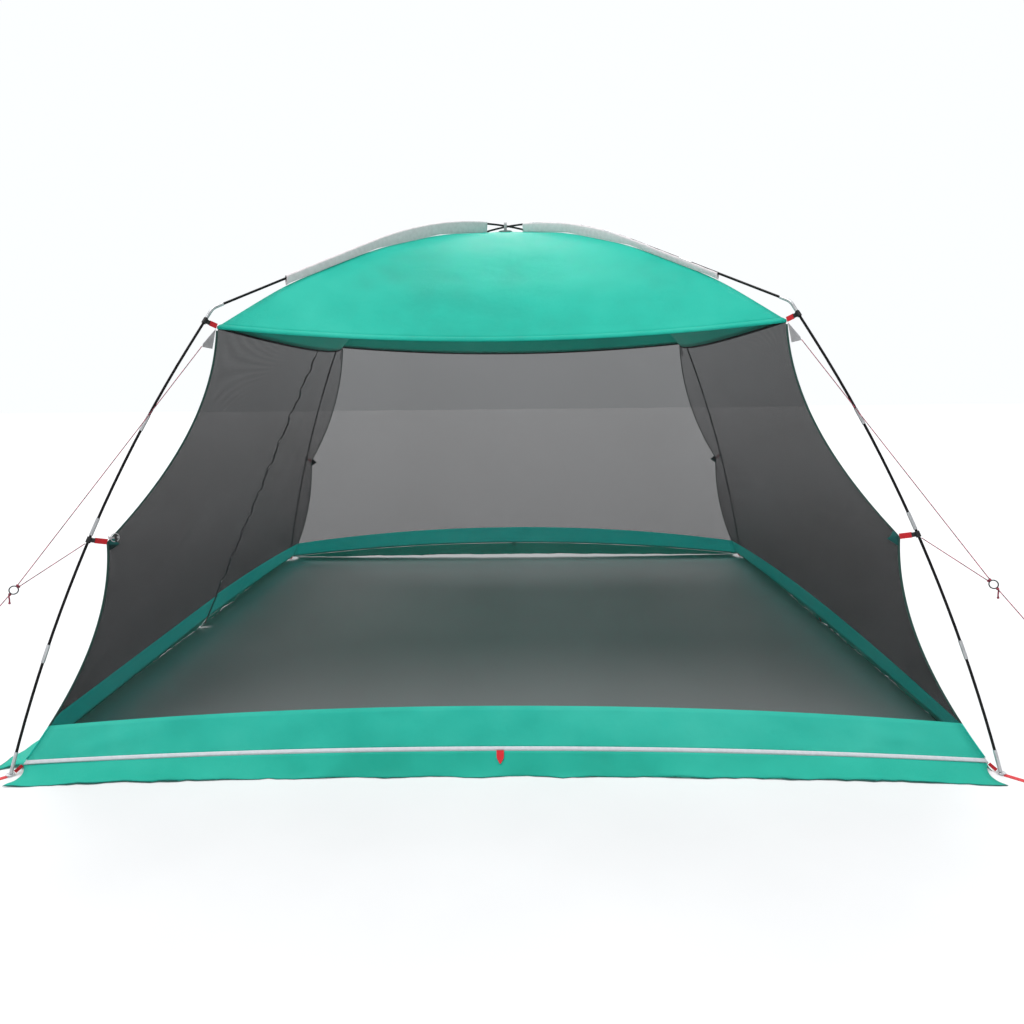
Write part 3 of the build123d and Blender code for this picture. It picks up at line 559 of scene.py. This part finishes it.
def band_wave(i, j, point):
    """Gathers along the band, and pleats that run out from the corners."""
    gather = ruffle((point[0] * 3.0, point[1] * 3.0, point[2] * 0.6), 4.0, 5.0)
    away, turn = from_corner(point)
    pleat = math.sin(turn * 34) * math.exp(-away / 0.22) * min(away / 0.05, 1)
    hold = math.sin(math.pi * i) * min(1, 14 * j, 14 * (1 - j))
    flattened = (point[0], point[1], point[2] * 2.4)
    fine = 0.0035 * ruffle(point, 13.0, 2.0) + 0.0022 * ruffle(flattened, 27.0, 4.0)
    return hold * (0.0075 * gather + 0.0080 * pleat + fine)


def skirt_wave(i, point):
    """Waves and creases that grow towards the loose hem, kept above the ground."""
    flat = (point[0], point[1], 0)
    wave = 0.014 * ruffle(flat, 4.2, 1.0) + 0.007 * ruffle(flat, 11.0, 6.0) + 0.003 * ruffle(flat, 31.0, 9.0)
    return max(0.0, wave + 0.005) * (0.15 + 0.85 * i) * (1 - 0.7 * max(0.0, i - 0.9) * 10)


def hem_wave(i, j, point):
    """The skirt's wave over its last 3%, which is the hem's width."""
    return skirt_wave(1 - i * (1 - HEM_FROM), point)


def roof_wave(i, j, point):
    """Pull lines that run from the peak to the eaves, and small dents."""
    side = math.sin(math.pi * j)
    radial = ruffle((math.atan2(point[1], point[0]) * 1.6, 0, 0.2), 3.0, 4.0)
    return side * math.sin(math.pi * i) * (0.006 * radial + 0.003 * ruffle(point, 4.5, 7.0))


MESH_ROWS, MESH_COLUMNS = 48, 72

for side in SIDES:
    u_range = (-1, -ZIP_MARGIN / TAPE_CORNER[0]) if side == "left" else (-1, 1)
    columns = 40 if side == "left" else MESH_COLUMNS
    us = spaced(*u_range, columns)
    rows = [
        [wall_point(side, u, band_share(u) + (1 - band_share(u)) * v) for u in us] for v in spaced(0, 1, MESH_ROWS)
    ]
    if side == "left":
        rows = [[swayed(p) for p in row] for row in rows]
    look = "side_mesh" if side in ("left", "right") else "black_mesh"
    on_house(grid_object(f"wall_mesh_{side}", rows, look, wall_wave), "black_mesh", f"mesh_wall_{side}")
    rows = [[wall_point(side, u, band_share(u) * v) for u in us] for v in spaced(0, 1, 8)]
    band = grid_object(f"wall_band_{side}", rows, "band", band_wave, CLOTH)
    on_house(band, "turquoise_fabric", f"band_{side}")
    rows = [[wall_point(side, u, TAPE_SHARE * v) for u in us] for v in spaced(-0.12, 1, 3)]
    tape = grid_object(f"wall_tape_{side}", rows, "white_tape", None, 0.0012, 0.0016)
    on_house(tape, "white_tape", "base_tape")
    skirt_us = spaced(-1, 1, 110) if side != "left" else spaced(-1, -0.006, 60)
    rows = [[skirt_point(side, u, t) for u in skirt_us] for t in spaced(1, 0, 14)]
    skirt = grid_object(f"wall_skirt_{side}", rows, "skirt", lambda i, j, p: skirt_wave(1 - i, p), CLOTH)
    on_house(skirt, "turquoise_fabric", f"skirt_{side}")
    hem_rows = [[skirt_point(side, u, t) for u in skirt_us] for t in spaced(1, HEM_FROM, 2)]
    hem = grid_object(f"wall_hem_{side}", hem_rows, "patch", hem_wave, 0.0018)
    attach(hem, "house")

# The door half of the left wall and its band, tape and skirt
DOOR_BAND_SHARE = 0.088
ts = spaced(0, 1, 90)
rows = [[swayed(door_half_point(t, v)) for t in ts] for v in spaced(DOOR_BAND_SHARE, 1, MESH_ROWS)]
folds_with_door(grid_object("door_half_mesh", rows, "side_mesh"), "black_mesh", "door_mesh")
rows = [[door_half_point(t, v) for t in ts] for v in spaced(0.0, DOOR_BAND_SHARE, 8)]
folds_with_door(grid_object("door_half_band", rows, "band", None, CLOTH), "turquoise_fabric", "door_band")
rows = [[door_half_point(t, v) for t in spaced(0, 0.995, 60)] for v in spaced(-0.001, TAPE_SHARE, 3)]
door_tape = grid_object("door_half_tape", rows, "white_tape", None, 0.0012, 0.0016)
folds_with_door(door_tape, "white_tape", "door_tape")
door_us = spaced(0.006, 1, 60)
rows = [[skirt_point("left", u, t) for u in door_us] for t in spaced(1, 0, 14)]
door_skirt = grid_object("door_half_skirt", rows, "skirt", lambda i, j, p: skirt_wave(1 - i, p), CLOTH)
folds_with_door(door_skirt, "turquoise_fabric", "door_skirt")
rows = [[skirt_point("left", u, t) for u in door_us] for t in spaced(1, HEM_FROM, 2)]
door_hem = grid_object("door_half_hem", rows, "patch", hem_wave, 0.0018)
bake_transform(door_hem)

# ---------------------------------------------------------------- roof, its bound edges and corner seams

# Each bound edge runs from just down the wall, over the fold, and back over the roof
for side in SIDES:
    reaches = spaced(ROOF_CORNER[0], PEAK_OPENING, 56)
    rows = [[roof_point(side, u, reach) for u in spaced(-1, 1, 56)] for reach in reaches]
    panel = grid_object(f"roof_cloth_{side}", rows, "turquoise_fabric", roof_wave, CLOTH)
    on_house(panel, "turquoise_fabric", f"roof_panel_{side}")
    outward = to_side(side, 0, 1, 0)
    edge_us = spaced(-1, 1, 72)
    rows = [
        [wall_point(side, u, 1 - EDGE_SHARE) + outward * 0.0016 for u in edge_us],
        [wall_point(side, u, 1) + outward * 0.0030 + Vector((0, 0, -0.002)) for u in edge_us],
        [wall_point(side, u, 1) + outward * 0.0018 + Vector((0, 0, 0.0016)) for u in edge_us],
        [roof_point(side, u, ROOF_CORNER[0] - 0.009) + Vector((0, 0, 0.0018)) for u in edge_us],
    ]
    look = "turquoise_fabric" if side == "front" else "dark_binding"
    on_house(grid_object(f"roof_binding_{side}", rows, look, None, 0.0010), look, "edge_bindings")

for corner, (sx, sy) in CORNERS.items():
    outward = Vector((sx, sy, 0)).normalized()
    for name, look, low, high, count in (
        ("seam_binding", "dark_binding", BAND_SHARE - BAND_TAPER, 0.99, 60),
        ("seam_binding_low", "band", 0.01, BAND_SHARE - BAND_TAPER, 8),
    ):
        rows = []
        for share in spaced(low, high, count):
            height = TAPE_CORNER[1] + (ROOF_CORNER[1] - TAPE_CORNER[1]) * share
            reach = TAPE_CORNER[0] + (ROOF_CORNER[0] - TAPE_CORNER[0]) * share + seam_offset(share)
            seam = Vector((sx * reach, sy * reach, height))
            rows.append([seam + outward * step for step in (-0.001, 0.003, 0.007)])
        binding = grid_object(f"{name}_{corner}", rows, look, None, 0.0022)
        on_house(binding, "dark_binding", "edge_bindings")

# ---------------------------------------------------------------- corner patches on the walls

PATCH_REACH, PATCH_HALF, PATCH_DROP = 0.034, 0.024, 0.008
HALF_WIDTH, WALL_HEIGHT = 1.4, 1.52
PATCH_SHARE = (WALL_MIDDLE[1] - TAPE_CORNER[1]) / (ROOF_CORNER[1] - TAPE_CORNER[1])
for side in SIDES:
    for end in (-1, 1):
        if side == "left" and end == 1:
            continue
        rows = []
        for v in spaced(-1, 1, 8):
            depth = PATCH_REACH * (1 - abs(v)) / HALF_WIDTH + 0.002
            share = PATCH_SHARE + (v * PATCH_HALF - PATCH_DROP) / WALL_HEIGHT
            rows.append([wall_point(side, end * (1 - depth * k), share) for k in spaced(0, 1, 4)])
        which = "near" if end < 0 else "far"
        patch = grid_object(f"patch_{side}_{which}", rows, "patch", None, 0.0016, -0.0014)
        on_house(patch, "turquoise_fabric", "corner_patches")

# ---------------------------------------------------------------- pole sleeves


def pole_height(d):
    """The pole's height at a distance d along the diagonal from the peak."""
    if abs(d) < POLE_ARC * math.sin(math.atan(POLE_SLOPE)):
        return CROWN - POLE_ARC + math.sqrt(POLE_ARC**2 - d * d)
    return RIDGE_HEIGHT - POLE_SLOPE * abs(d)


SLEEVE_RING = 14
for corner, (sx, sy) in CORNERS.items():
    outward = Vector((sx, sy, 0)).normalized()
    aside = Vector((-sy, sx, 0)).normalized()
    lift = 0.0052 if corner in ("front_left", "back_right") else -0.0052
    rows = []
    for d in spaced(DIAGONAL * SLEEVE_END, DIAGONAL * SLEEVE_START, 90):
        top = pole_height(d) + lift
        foot = ridge_height(d / DIAGONAL) + 0.0015
        wander = 0.0012 * noise.noise(Vector((d * 30, sx, sy)))
        row = []
        for k in range(SLEEVE_RING + 1):
            turn = math.pi * k / SLEEVE_RING
            row.append((0.0072 * math.cos(turn), top + 0.0072 * math.sin(turn) + wander))
        waist = (top + foot) / 2
        left = [(-0.0062, waist), (-0.0035, foot + 0.004), (-0.003, foot)]
        right = [(0.003, foot), (0.0035, foot + 0.004), (0.0062, waist)]
        row = right + row + left + [right[0]]
        pucker = 0.0010 * noise.noise(Vector((d * 22, 7.0, sx + 2 * sy)))
        rows.append([outward * d + aside * (a + pucker) + Vector((0, 0, z)) for a, z in row])
    sleeve = grid_object(f"sleeve_{corner}", rows, "light_grey_fabric", None, 0.0006)
    on_house(sleeve, "light_grey_fabric", f"pole_sleeve_{corner}")

# ---------------------------------------------------------------- the zip


ZIP_TAPE_STEPS = (0.0006, 0.008, 0.0150)
TOOTH_PITCH, TOOTH_SIZE = 0.0030, (0.0026, 0.0019, 0.0028)
TOOTH_CORNERS = [(a, b, c) for c in (-1, 1) for a, b in ((-1, -1), (1, -1), (1, 1), (-1, 1))]
TOOTH_FACES = [(3, 2, 1, 0), (4, 5, 6, 7), (0, 1, 5, 4), (1, 2, 6, 5), (2, 3, 7, 6), (3, 0, 4, 7)]


def zip_half(name, sign, low, high, teeth_name):
    """One half of the zip: its woven tape as one piece, its teeth as another."""
    edge = [
        [swayed(ZIP_FOOT + ZIP_UP * h + FORWARD * (sign * s) + OUTWARD * 0.0009) for s in ZIP_TAPE_STEPS]
        for h in spaced(low, high, 220)
    ]
    woven = grid_object(name, edge, "zip_tape", None, 0.0007)
    verts, faces = [], []
    height = low
    while height < high:
        base = len(verts)
        stagger = TOOTH_PITCH / 2 if sign > 0 else 0
        middle = swayed(ZIP_FOOT + ZIP_UP * (height + stagger) + FORWARD * (sign * 0.0010) + OUTWARD * 0.0008)
        for a, b, c in TOOTH_CORNERS:
            taper = 0.72 if c > 0 else 1.0
            across = FORWARD * (a * TOOTH_SIZE[0] / 2 * taper)
            along = ZIP_UP * (b * TOOTH_SIZE[1] / 2 * taper)
            verts.append(tuple(middle + across + along + OUTWARD * (c * TOOTH_SIZE[2] / 2)))
        for face in TOOTH_FACES:
            faces.append(tuple(base + k for k in face))
        height += TOOTH_PITCH
    mesh = bpy.data.meshes.new(teeth_name)
    mesh.from_pydata(verts, [], faces)
    teeth = bpy.data.objects.new(teeth_name, mesh)
    bpy.context.scene.collection.objects.link(teeth)
    paint(teeth, "zip_black")
    return woven, teeth


for piece in zip_half("zip_woven_fixed", -1, 0.004, ZIP_LENGTH - 0.008, "zip_teeth_fixed"):
    on_house(piece, "zip_black", "zip_chain_fixed")
for piece in zip_half("zip_woven_door", 1, 0.004, ZIP_LENGTH - 0.040, "zip_teeth_door"):
    folds_with_door(piece, "zip_black", "zip_chain_door")

# ---------------------------------------------------------------- guy lines

CORD_RADIUS = 0.0015
GUY_TAB = (1.146, -1.146, 1.478)
GUY_ASIDE = 0.018
GUY_MIDDLE = (1.480, -1.480, 0.776)
GUY_RING = (1.648, -1.648, 0.650)
GUY_GROUND = (2.085, -2.125, 0.002)
RING_GAP = 0.0166


def small_mesh(name, verts, faces, material):
    mesh = bpy.data.meshes.new(name)
    mesh.from_pydata([tuple(v) for v in verts], [], faces)
    mesh.shade_smooth()
    obj = bpy.data.objects.new(name, mesh)
    bpy.context.scene.collection.objects.link(obj)
    paint(obj, material)
    return obj


def tube(name, points, radius, material, sides=8, closed=False):
    """A round tube along a list of points."""
    points = [Vector(p) for p in points]
    count = len(points)
    verts, faces = [], []
    side = None
    for i, p in enumerate(points):
        ahead = points[(i + 1) % count] if closed or i < count - 1 else p
        behind = points[i - 1] if closed or i > 0 else p
        way = (ahead - behind).normalized()
        if side is None:
            side = way.orthogonal().normalized()
        side = (side - way * side.dot(way)).normalized()
        other = way.cross(side)
        for k in range(sides):
            a = 2 * math.pi * k / sides
            verts.append(p + side * (radius * math.cos(a)) + other * (radius * math.sin(a)))
    for i in range(count if closed else count - 1):
        for k in range(sides):
            a, b = i * sides + k, i * sides + (k + 1) % sides
            c, d = ((i + 1) % count) * sides + (k + 1) % sides, ((i + 1) % count) * sides + k
            faces.append((a, b, c, d))
    if not closed:
        faces.append(tuple(range(sides - 1, -1, -1)))
        faces.append(tuple((count - 1) * sides + k for k in range(sides)))
    return small_mesh(name, verts, faces, material)


def knot(name, centre, way, size, material="guy_cord", radius=CORD_RADIUS):
    """Turns of cord wound round a line, pulled into a small knot."""
    way = Vector(way).normalized()
    side = way.orthogonal().normalized()
    other = way.cross(side)
    path = []
    for k in range(61):
        t = k / 60
        a = 2 * math.pi * 3 * t
        r = size * (0.55 + 0.45 * math.sin(math.pi * t))
        along = (t - 0.5) * size * 2.2
        path.append(Vector(centre) + way * along + side * (r * math.cos(a)) + other * (r * math.sin(a)))
    return tube(name, path, radius, material)


def guy_line(name, start, end, start_gap, end_gap, node):
    """A taut cord as a NURBS curve from near start to near end."""
    start, end = Vector(start), Vector(end)
    way = (end - start).normalized()
    first, last = start + way * start_gap, end - way * end_gap
    curve = bpy.data.curves.new(name, "CURVE")
    curve.dimensions = "3D"
    spline = curve.splines.new("NURBS")
    route = [first, first.lerp(last, 0.5), last]
    spline.points.add(len(route) - 1)
    for point, place in zip(spline.points, route):
        point.co = (*place, 1)
    spline.order_u = 3
    spline.use_endpoint_u = True
    curve.bevel_depth = CORD_RADIUS
    curve.bevel_resolution = 3
    obj = bpy.data.objects.new(name, curve)
    bpy.context.scene.collection.objects.link(obj)
    obj.data.materials.append(MATERIALS["guy_cord"])
    on_house(obj, "guy_cord", node)
    return obj


for name, sign in (("left", -1), ("right", 1)):
    aside = Vector((-sign, -1, 0)).normalized() * GUY_ASIDE
    tab = Vector((sign * GUY_TAB[0], GUY_TAB[1], GUY_TAB[2])) + aside
    middle = Vector((sign * GUY_MIDDLE[0], GUY_MIDDLE[1], GUY_MIDDLE[2]))
    ring = Vector((sign * GUY_RING[0], GUY_RING[1], GUY_RING[2]))
    ground = Vector((sign * GUY_GROUND[0], GUY_GROUND[1], GUY_GROUND[2]))
    pieces = {}
    for label, other, size in (("upper", tab, 0.0032), ("lower", middle, 0.0032), ("anchor", ground, 0.0036)):
        way = (other - ring).normalized()
        piece = knot(f"guy_knot_{label}_{name}", ring + way * 0.0185, way, size)
        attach(piece, "house")
        pieces[label] = [piece]
    way = (ground - ring).normalized()
    tail_top = ring + way * 0.018 + Vector((sign * 0.001, -0.002, 0.004))
    drops = ((0, 0), (0.0020, -0.010), (0.0014, -0.022), (0.0024, -0.034))
    hang = [tail_top + Vector((sign * out, 0, drop)) for out, drop in drops]
    tail = tube(f"guy_tail_{name}", hang, CORD_RADIUS * 1.7, "guy_cord")
    stop = knot(f"guy_tail_stop_{name}", hang[-1], (0, 0, 1), 0.0028)
    end_knot = knot(f"guy_end_{name}", ground - way * 0.010 + Vector((0, 0, 0.0035)), way, 0.0028)
    for piece in (tail, stop, end_knot):
        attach(piece, "house")
    pieces["anchor"] += [tail, stop, end_knot]
    guy_line(f"guy_line_upper_{name}", tab, ring, 0.005, RING_GAP, f"guy_upper_{name}")
    guy_line(f"guy_line_lower_{name}", middle, ring, 0.001, RING_GAP, f"guy_lower_{name}")
    guy_line(f"guy_line_anchor_{name}", ring, ground, RING_GAP, 0.003, f"guy_anchor_{name}")

# ---------------------------------------------------------------- the CAD pieces that stay

CAD_LOOKS = {
    "pole_black": ("leg_sections_", "roof_sections"),
    "grey_metal": ("ferrules", "shoulder_elbows", "foot_tips", "foot_pins", "foot_rings"),
    "dark_metal": ("guy_rings",),
    "elastic_cord": ("shock_cords",),
    "grey_tab": ("crossing_tie", "guy_tabs", "tie_loop"),
    "black_plastic": ("pole_hooks", "tie_toggle"),
    "zip_metal": ("zip_slider", "zip_pull"),
    "red_webbing": ("hook_straps", "foot_straps", "peg_straps", "peg_loops"),
}
for material, starts in CAD_LOOKS.items():
    for node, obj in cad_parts.items():
        if node.startswith(starts):
            obj.data.materials.clear()
            obj.data.materials.append(MATERIALS[material])

BEVELLED = {"pole_hooks": 0.0012, "tie_toggle": 0.0008, "zip_slider": 0.0004, "zip_pull": 0.0004}
for node, width in BEVELLED.items():
    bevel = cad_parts[node].modifiers.new("edges", "BEVEL")
    bevel.width = width
    bevel.segments = 2
    bevel.limit_method = "ANGLE"
